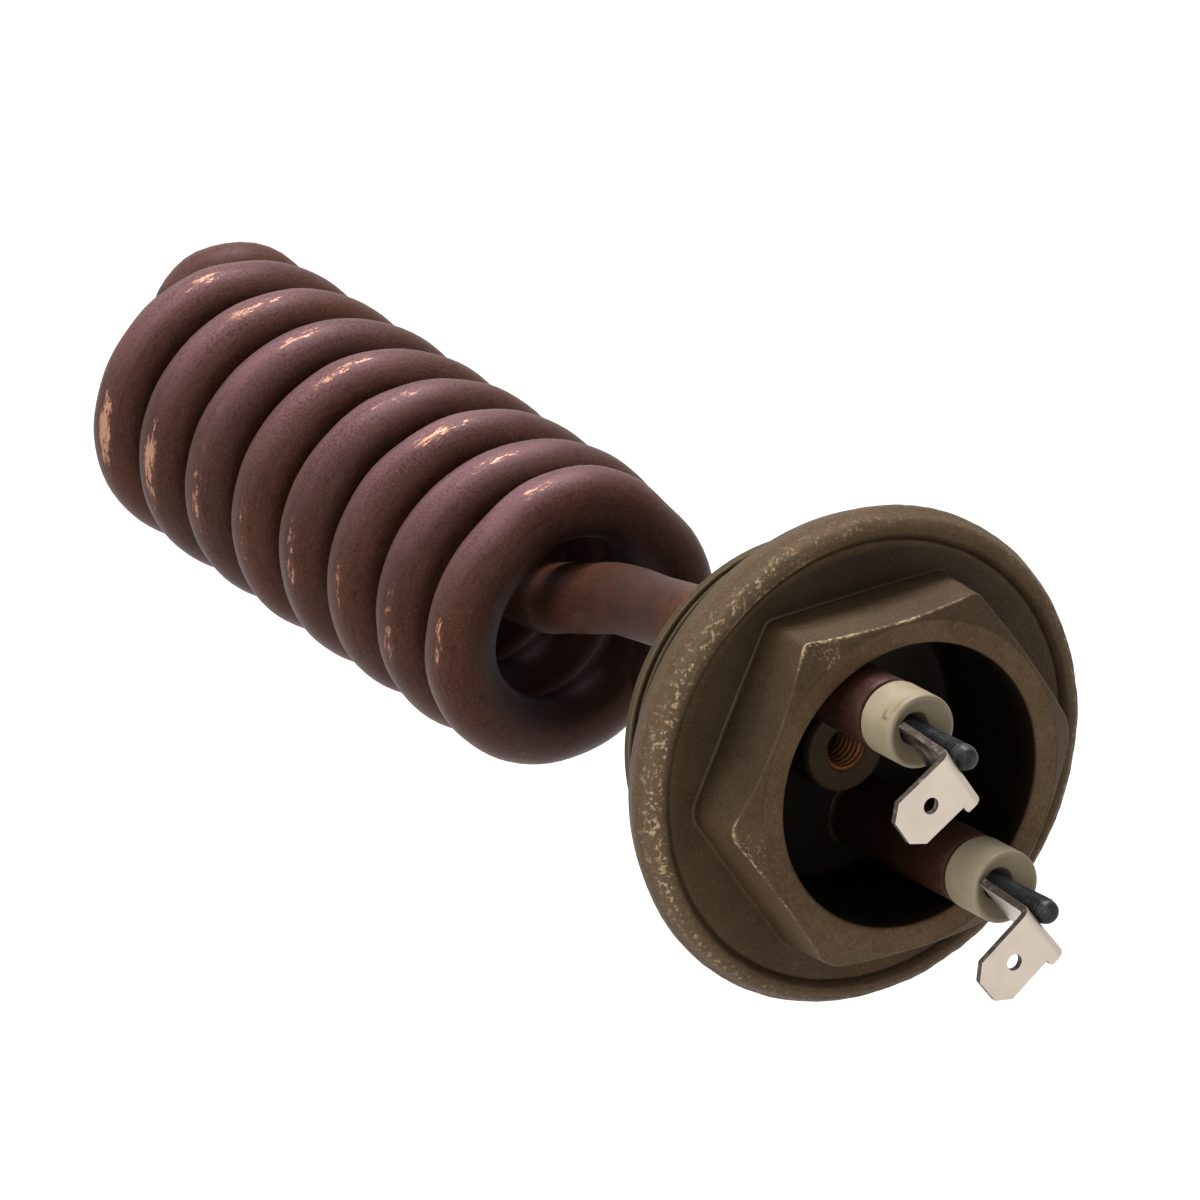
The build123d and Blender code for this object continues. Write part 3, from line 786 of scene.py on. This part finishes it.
ceramic = fired_ceramic()
bead_profile = arc_chain([
    (BEAD_BORE, BEAD_FRONT + BEAD_MOUTH_DEPTH + 1.0, 0),
    (BEAD_BORE, BEAD_FRONT + BEAD_MOUTH_DEPTH, 0.15),
    (BEAD_MOUTH, BEAD_FRONT, 0.12),
    (BEAD_RADIUS, BEAD_FRONT, 0.36),
    (BEAD_RADIUS, SHEATH_END - 0.02, BEAD_ROUND),
    (SHEATH_BORE - 0.02, SHEATH_END - 0.02, 0.05),
    (SHEATH_BORE - 0.02, SHEATH_END + BEAD_SHANK, 0.2),
    (BEAD_BORE, SHEATH_END + BEAD_SHANK, 0.1),
    (BEAD_BORE, BEAD_FRONT + BEAD_MOUTH_DEPTH + 1.05, 0),
], 0.22)
for name, side in LEGS.items():
    rings = turned_on_leg(bead_profile, side)
    behind = rings[..., 1] - BEAD_FRONT
    apart = rings - leg_point(side, 0)
    around = np.degrees(np.arctan2(apart[..., 2], apart[..., 0])) % 360
    outer = np.hypot(apart[..., 0], apart[..., 2]) > BEAD_RADIUS - 0.2
    line = 0.6 * bell(behind, 0.85, 0.13) * bell(around, 126, 24, 4)
    hook = bell(behind, 1.9, 0.16) * bell(around, 148, 8, 4)
    hook += bell(behind, 1.5, 0.4, 4) * bell(around, 154, 2.6)
    mark = np.clip(outer * (line + hook) * (side > 0), 0, 1)
    bead = skin(f"ceramic_bead_{name}", leant(rings, LEG_LEAN[name]), "loop", mark=mark)
    dress(bead, ceramic, "bead_ceramic", f"end_bead_{name}")

# The cold pins: steel rods that lead the current past the seals. Outside the bead each is a stud with a
# rolled M3 thread and a smooth domed tip, blackened and a little bent.
PIN_RADIUS = 1.45
PIN_REAR = 12.0
PIN_TIP = -33.4
PIN_COLUMNS = 48
PIN_THREAD_DEPTH = 0.26
PIN_THREAD_PITCH = 0.5
PIN_THREAD_FROM = {"upper": -31.6, "lower": -32.6}
PIN_BEND_FROM = -22.0
PIN_BEND = {"upper": 0.030, "lower": 0.035}
PIN_LEAN = {"upper": np.array([0, 0, 0.05]), "lower": np.array([0, 0, 0.18])}
dome = arc_chain([
    (0.12, PIN_TIP, 0),
    (PIN_RADIUS * 0.72, PIN_TIP + 0.06, 0.8),
    (PIN_RADIUS, PIN_TIP + 1.2, 0.9),
    (PIN_RADIUS, PIN_TIP + 1.6, 0),
], 0.15)
cut_y = np.arange(PIN_TIP + 1.6, BEAD_FRONT + BEAD_MOUTH_DEPTH + 0.6, 0.055)[1:]
plain = np.array([(PIN_RADIUS, y) for y in (-19.0, -10.0, 0.0, PIN_REAR)] + [(0.3, PIN_REAR)])
pin_profile = np.vstack([dome, np.stack([np.full(len(cut_y), PIN_RADIUS), cut_y], -1), plain])
pin_r, y, theta = lathed(pin_profile, PIN_COLUMNS)
ridge = zigzag(y / PIN_THREAD_PITCH - theta / (2 * np.pi))


def black_steel():
    """Steel gone blue-black, with paler fine specks and painted shade in the thread's valleys."""
    shader = Shader("black_steel")
    valley = shader.attribute("valley")
    patch = shader.noise(1.2, 4, 0.6)
    fine = shader.noise(0.2, 3, 0.6)
    colour = shader.tint((0.020, 0.023, 0.024), patch, (0.4, 0.65), (0.044, 0.047, 0.046))
    colour = shader.tint(colour, fine, (0.62, 0.8), (0.090, 0.088, 0.082))
    # Painted shade in the thread's valleys.
    colour = shader.mix(valley, colour, (0.004, 0.004, 0.004))
    return shader.finish(
        base_color=colour,
        metallic=0.6,
        roughness=shader.plus(shader.times(fine, 0.2), 0.38),
        specular_ior_level=0.25,
        normal=shader.bump(patch, 0.09),
    )


blackened = black_steel()
for name, side in LEGS.items():
    threaded = np.clip((y - PIN_THREAD_FROM[name]) / 0.4, 0, 1) * (y < cut_y[-1] - 0.1)
    r = pin_r - PIN_THREAD_DEPTH * (1 - ridge) * threaded
    stud = leg_point(side, 0) + revolved(r, y, theta)
    stud[..., 2] += PIN_BEND[name] * np.maximum(PIN_BEND_FROM - y, 0)
    stud = skin(f"threaded_pin_{name}", leant(stud, PIN_LEAN[name]), valley=(1 - ridge) * threaded)
    dress(stud, blackened, "pin_steel", f"cold_pin_{name}")

# The spade terminals: 6.3 x 0.8 mm plated steel strip, punched with a hole and a shoulder, folded to an L.
# The foot lies along the pin and is spot-welded to it, and the blade hangs in front.
TAB_HALF = 3.15
TAB_THICKNESS = 0.8
TAB_TIP = 10.6
TAB_TIP_CHAMFER = 1.55
TAB_HOLE = 0.9
TAB_HOLE_AT = 6.3
TAB_EAR_OUT = 0.95
TAB_EAR_LONG = 1.1
TAB_EAR_ROWS = 14
TAB_FRONT = -33.8
TAB_FOOT_END = -24.7
TAB_SINK = 0.2
TAB_FOLD = 0.35
TAB_RISE = {"upper": 0.62, "lower": 0.60}
TAB_FOLD_COLUMNS = 24
TAB_WAYS = {"upper": np.radians(214.5), "lower": np.radians(218.5)}
MID = TAB_THICKNESS / 2
fold_mid = TAB_FOLD + MID
blade_from = PIN_RADIUS - TAB_SINK + TAB_FOLD + TAB_THICKNESS


def quads(numbers):
    """The four-sided faces of a grid of point numbers."""
    corners = [numbers[:-1, :-1], numbers[:-1, 1:], numbers[1:, 1:], numbers[1:, :-1]]
    return np.stack(corners, -1).reshape(-1, 4)


def tab_sheet():
    """The strip's middle surface before it is placed: u down the blade, v along the plug's axis from the
    blade's front, w across. Rings go from the hole out to the blade's outline, rows go on round the fold, a
    quarter circle, and back along the foot, and a border beside the fold makes the shoulder."""
    across = np.linspace(TAB_HALF, -TAB_HALF, TAB_FOLD_COLUMNS + 1)
    side_u = np.concatenate([
        np.arange(TAB_TIP - TAB_TIP_CHAMFER, blade_from + TAB_EAR_LONG + 0.2, -0.3),
        np.linspace(blade_from + TAB_EAR_LONG, blade_from, 6),
    ])
    outline = evenly(np.array([
        (blade_from, -TAB_HALF),
        (TAB_TIP - TAB_TIP_CHAMFER, -TAB_HALF),
        (TAB_TIP, -TAB_HALF + TAB_TIP_CHAMFER),
        (TAB_TIP, TAB_HALF - TAB_TIP_CHAMFER),
        (TAB_TIP - TAB_TIP_CHAMFER, TAB_HALF),
    ]), 0.3)
    outline = np.vstack([outline[:-1], np.stack([side_u, np.full(len(side_u), TAB_HALF)], -1)])
    top = np.stack([np.full(TAB_FOLD_COLUMNS + 1, blade_from), across], -1)
    outline = np.vstack([outline[:-1], top[:-1]])
    centre = np.array([TAB_HOLE_AT, 0])
    ray = outline - centre
    ray /= np.linalg.norm(ray, axis=1)[:, None]
    share = (np.linspace(0, 1, 10) ** 1.2)[:, None, None]
    rings = (centre + ray * TAB_HOLE) * (1 - share) + outline * share
    flat = np.stack([rings[..., 0], np.full(rings.shape[:2], MID), rings[..., 1]], -1)
    swing = np.linspace(0, np.pi / 2, 8)[1:, None]
    fold_u = blade_from - fold_mid * np.sin(swing)
    fold_v = MID + fold_mid * (1 - np.cos(swing))
    foot_v = np.linspace(fold_v[-1, 0], TAB_FOOT_END - TAB_FRONT, 14)[1:, None]
    u = np.vstack([fold_u, np.full_like(foot_v, PIN_RADIUS - TAB_SINK + MID)])
    v = np.vstack([fold_v, foot_v])
    wide = np.ones((1, TAB_FOLD_COLUMNS + 1))
    rows = np.stack([u * wide, v * wide, across * np.ones_like(u)], -1)
    on_blade = np.arange(rings.size // 2).reshape(rings.shape[:2])
    edge = on_blade[-1]
    seam = np.roll(edge, TAB_FOLD_COLUMNS)[:TAB_FOLD_COLUMNS + 1]
    on_foot = np.arange(rows.size // 3).reshape(rows.shape[:2]) + on_blade.size
    on_foot = np.vstack([seam, on_foot])
    border = np.concatenate([edge[-TAB_FOLD_COLUMNS - 5:-TAB_FOLD_COLUMNS], on_foot[:TAB_EAR_ROWS, 0]])
    points = np.vstack([flat.reshape(-1, 3), rows.reshape(-1, 3)])
    step = np.arange(len(border))
    ear_out = TAB_EAR_OUT * np.interp(step, [0, 1, 12, step[-1]], [0.6, 1.0, 1.0, 0.12])
    ear = points[border] + np.array([0.5, 1.0])[:, None, None] * ear_out[:, None] * np.array([0, 0, 1])
    on_ear = np.vstack([border, np.stack([step, step + len(border)]) + len(points)])
    faces = [quads(np.hstack([on_blade, on_blade[:, :1]])), quads(on_foot), quads(on_ear)]
    return np.vstack([points, ear.reshape(-1, 3)]), np.vstack(faces)


def plated_steel():
    """Warm bright plating on rolled strip: fine scratches along it, duller at the sheared edges."""
    shader = Shader("plated_steel")
    cloud = shader.noise(3, 4, 0.6)
    fine = shader.noise(0.18, 3, 0.6)
    burnt = shader.attribute("burnt")
    colour = shader.tint((0.545, 0.468, 0.392), cloud, (0.4, 0.7), (0.505, 0.432, 0.362))
    # Darker along the foot: heat tint from the weld, and painted shade for the dark the foot reflects, full
    # on the upper terminal.
    colour = shader.tint(colour, cloud, (0.25, 0.5), (0.060, 0.044, 0.034), burnt)
    rough = shader.plus(shader.times(fine, 0.12), 0.34)
    height = shader.plus(shader.times(fine, 0.5), shader.times(cloud, 0.5))
    return shader.finish(base_color=colour, metallic=1.0, roughness=rough, normal=shader.bump(height, 0.02))


def sheared_steel():
    """The strip's cut edges: bare steel, gone dark brown, with a few paler burrs."""
    shader = Shader("sheared_steel")
    burr = shader.noise(0.9, 3, 0.55)
    colour = shader.tint((0.062, 0.047, 0.037), burr, (0.52, 0.72), (0.200, 0.155, 0.120))
    rough = shader.plus(shader.times(burr, 0.3), 0.35)
    return shader.finish(base_color=colour, metallic=0.8, roughness=rough, normal=shader.bump(burr, 0.04))


plated = plated_steel()
sheared = sheared_steel()
BURNT = {"upper": 1.0, "lower": 0.3}
sheet_points, sheet_faces = tab_sheet()
for name, side in LEGS.items():
    down = np.array([np.cos(TAB_WAYS[name]), 0, np.sin(TAB_WAYS[name])])
    aside = np.cross(down, [0, -1, 0])
    u, v, w = sheet_points.T[:, :, None]
    points = leg_point(side, TAB_FRONT) + u * down + v * np.array([0, 1, 0]) + w * aside * -1
    points = leant(points, PIN_LEAN[name])
    points = points + TAB_RISE[name] * v / (TAB_FOOT_END - TAB_FRONT) * np.array([0, 0, 1])
    mesh = bpy.data.meshes.new(f"spade_terminal_{name}")
    mesh.from_pydata((points * MM).tolist(), [], sheet_faces.tolist())
    mesh.polygons.foreach_set("use_smooth", np.ones(len(mesh.polygons), bool))
    # Weld tint and painted shade grow from the fold back along the foot.
    burnt = BURNT[name] * np.clip((v[:, 0] - 1.2) / 1.5, 0, 1)
    mesh.attributes.new("burnt", "FLOAT", "POINT").data.foreach_set("value", burnt.astype(np.float32))
    tab = added(mesh.name, mesh)
    wall = tab.modifiers.new("thickness", "SOLIDIFY")
    wall.thickness = TAB_THICKNESS * MM
    wall.offset = 0
    wall.material_offset_rim = 1
    edge = tab.modifiers.new("edges", "BEVEL")
    edge.width = 0.08 * MM
    edge.segments = 2
    edge.limit_method = "ANGLE"
    edge.angle_limit = np.radians(35)
    edge.harden_normals = True
    dress(tab, plated, "tab_steel", f"terminal_tab_{name}")
    mesh.materials.append(sheared)

# The braze joints: silver braze drawn into the gap round each leg, with a hollow fillet at either face.
# The fillet's foot runs out unevenly over the brass.
BRAZE_GAP = 0.15
BRAZE_REAR = 1.3
BRAZE_FRONT = 0.45


def braze_alloy():
    """A dull silvery yellow alloy, coloured nearly black as painted shade deep in the pocket, with brown flux
    stains.
    """
    shader = Shader("braze_alloy")
    stain = shader.noise(1.5, 5, 0.65)
    # Painted shade: the braze's colour near black.
    colour = shader.tint((0.028, 0.019, 0.012), stain, (0.45, 0.62), (0.008, 0.005, 0.003))
    return shader.finish(
        base_color=colour,
        metallic=0.3,
        roughness=shader.plus(shader.times(stain, 0.3), 0.45),
        specular_ior_level=0.1,
        normal=shader.bump(stain, 0.08),
    )


alloy = braze_alloy()
bow = np.linspace(0, np.pi / 2, 10)
for name, side in LEGS.items():
    rear_r = SHEATH_RADIUS + BRAZE_REAR * (1 - np.sin(bow))
    rear_y = SPIGOT_END + BRAZE_REAR * (1 - np.cos(bow))
    front_r = SHEATH_RADIUS + BRAZE_FRONT * (1 - np.cos(bow))
    front_y = POCKET_FLOOR - BRAZE_FRONT * (1 - np.sin(bow))
    sleeve = SHEATH_RADIUS + BRAZE_GAP
    profile = np.vstack([
        np.stack([rear_r[::-1], rear_y[::-1]], -1),
        [(sleeve, SPIGOT_END - 0.02), (sleeve, POCKET_FLOOR + 0.02)],
        np.stack([front_r[::-1], front_y[::-1]], -1),
    ])
    rings = turned_on_leg(profile, side)
    out = rings - leg_point(side, 0)
    out[..., 1] = 0
    reach = np.linalg.norm(out, axis=-1, keepdims=True)
    uneven = 1 + 0.25 * lumps(rings * (1, 0, 1), 5.0, 21 + side)[..., None]
    rings = rings + out / reach * (reach - SHEATH_RADIUS) * (uneven - 1)
    dress(skin(f"braze_fillet_{name}", rings, "loop"), alloy, "braze_alloy", f"braze_joint_{name}")

# What the sheath holds: packed magnesia, the close-wound heating wire and a resin seal at each end. The
# first two follow the sheath's own route, so that they stay inside its bend at the coil's start.
SEAL_LENGTH = 3.0
CORE_RADIUS = 1.45
CORE_COLUMNS = 28


def sealed_finish(name, light, dark, size, metallic, roughness):
    """A matt finish mottled between two colours."""
    shader = Shader(name)
    mottle = shader.noise(size, 4, 0.6)
    colour = shader.tint(light, mottle, (0.4, 0.65), dark)
    return shader.finish(
        base_color=colour, metallic=metallic, roughness=roughness, normal=shader.bump(mottle, 0.05)
    )


def core_rings(y_start, radius):
    """Circles across the sheath's route, between the two places where its legs pass a given Y."""
    run = y_start - SHEATH_END
    inside = (along > run + 0.3) & (along < along[-1] - run - 0.3)
    middle = np.vstack([leg_point(1, y_start), places[inside], leg_point(-1, y_start)])
    way = np.vstack([ways[:1], ways[inside], ways[-1:]])
    side = np.vstack([sides[:1], sides[inside], sides[-1:]])
    rings, _, _ = tube_rings(middle, way, side, np.full(len(middle), radius), CORE_COLUMNS)
    on_upper = (np.arange(len(middle)) < len(middle) / 2)[:, None, None]
    return leant(rings, np.where(on_upper, LEG_LEAN["upper"], LEG_LEAN["lower"]))


fill_from = SHEATH_END + BEAD_SHANK + SEAL_LENGTH
fill_rings = np.vstack([core_rings(fill_from, SHEATH_BORE), core_rings(fill_from, CORE_RADIUS)[::-1]])
packed = sealed_finish("packed_magnesia", (0.80, 0.78, 0.72), (0.70, 0.67, 0.60), 1.0, 0.0, 0.9)
magnesia = skin("magnesia_core", fill_rings, "loop")
dress(magnesia, packed, "magnesia", "magnesia_fill")
wound = sealed_finish("heating_wire", (0.35, 0.32, 0.30), (0.20, 0.18, 0.17), 0.6, 0.9, 0.4)
winding = skin("heating_winding", core_rings(PIN_REAR, CORE_RADIUS))
dress(winding, wound, "resistance_alloy", "resistance_wire")
resin = sealed_finish("sealing_resin", (0.14, 0.06, 0.03), (0.09, 0.04, 0.02), 1.5, 0.0, 0.35)
for name in LEGS:
    paint(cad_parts[f"end_seal_{name}"], resin)

# The camera stands as in the photograph: the object turned 31 degrees, seen from 20 degrees above through a
# long lens.
AZIMUTH = np.radians(-31.12)
ELEVATION = np.radians(20.0)
CAMERA_AIM = np.array([0, -5.0, 0])
CAMERA_RIGHT = -28.69
CAMERA_UP = 17.30
CAMERA_BACK = 1075.9
right = np.array([np.cos(AZIMUTH), np.sin(AZIMUTH), 0])
back = np.array([
    np.sin(AZIMUTH) * np.cos(ELEVATION),
    -np.cos(AZIMUTH) * np.cos(ELEVATION),
    np.sin(ELEVATION),
])
up = np.cross(back, right)
stand = CAMERA_AIM + CAMERA_RIGHT * right + CAMERA_UP * up + CAMERA_BACK * back


def place(thing, x_way, y_way, z_way, at):
    """Puts a camera or a lamp in its place, with its own axes pointing the given ways."""
    turn = np.eye(4)
    turn[:3] = np.stack([x_way, y_way, z_way, at * MM], 1)
    thing.matrix_world = Matrix(turn)


lens = bpy.data.cameras.new("camera")
lens.lens = 300
lens.sensor_width = 36
lens.clip_start = 0.05
lens.clip_end = 50
camera = added("camera", lens)
place(camera, right, up, back, stand)
bpy.context.scene.camera = camera

# The studio: a wide pale floor well below the object, and large soft lamps above, to the left and in front.
FLOOR_Z = -0.16
FLOOR_HALF = 6.0
LAMPS_AIM = np.array([0, 45.0, 0])
floor_mesh = bpy.data.meshes.new("studio_floor")
floor_corners = np.array([(-1, -1), (1, -1), (1, 1), (-1, 1)]) * FLOOR_HALF
floor_mesh.from_pydata([(x, y, FLOOR_Z) for x, y in floor_corners.tolist()], [], [(0, 1, 2, 3)])
added("studio_floor", floor_mesh)


def seen_directly(tree):
    """1 for rays from the camera, from a mirror or through glass, 0 for the light that falls on things."""
    path = tree.nodes.new("ShaderNodeLightPath")
    most = path.outputs["Is Camera Ray"]
    for ray in ("Is Glossy Ray", "Is Transmission Ray"):
        larger = tree.nodes.new("ShaderNodeMath")
        larger.operation = "MAXIMUM"
        tree.links.new(most, larger.inputs[0])
        tree.links.new(path.outputs[ray], larger.inputs[1])
        most = larger.outputs[0]
    return most


pale = Shader("pale_floor")
pale.tree.nodes.remove(pale.surface)
matt = pale.add("ShaderNodeBsdfDiffuse", {"Color": (0.4, 0.4, 0.4)}).outputs[0]
lift = pale.times(seen_directly(pale.tree), 0.85)
glow = pale.add("ShaderNodeEmission", {"Color": (1.0, 1.0, 1.0), "Strength": lift}).outputs[0]
both = pale.add("ShaderNodeAddShader", {0: matt, 1: glow}).outputs[0]
pale.set(pale.tree.nodes["Material Output"].inputs["Surface"], both)
floor_mesh.materials.append(pale.material)

world = bpy.data.worlds.new("studio")
world.use_nodes = True
bpy.context.scene.world = world
tree = world.node_tree
level = tree.nodes.new("ShaderNodeMapRange")
tree.links.new(seen_directly(tree), level.inputs["Value"])
level.inputs["To Min"].default_value = 0.10
level.inputs["To Max"].default_value = 1.0
tree.nodes["Background"].inputs["Color"].default_value = (1, 1, 1, 1)
tree.links.new(level.outputs[0], tree.nodes["Background"].inputs["Strength"])


def soft_lamp(name, towards, distance, size, power):
    """A square lamp on a way given in the camera's own right, up and back, facing the object's middle."""
    way = towards[0] * right + towards[1] * up + towards[2] * back
    way = way / np.linalg.norm(way)
    data = bpy.data.lights.new(name, "AREA")
    data.shape = "SQUARE"
    data.size = size
    data.energy = power
    side = np.cross([0, 0, 1.0], way)
    side /= np.linalg.norm(side)
    place(added(name, data), side, np.cross(way, side), way, LAMPS_AIM + way * distance)


soft_lamp("top_lamp", (-0.05, 1.0, -0.02), 750, 0.24, 6.4)
soft_lamp("left_lamp", (-0.95, 0.25, 0.45), 850, 0.55, 3.8)
soft_lamp("front_lamp", (0.05, -0.35, 1.0), 1100, 0.8, 4.6)
soft_lamp("low_lamp", (0.75, -0.60, 0.45), 900, 0.6, 2.6)

bpy.context.scene.view_settings.view_transform = "Standard"
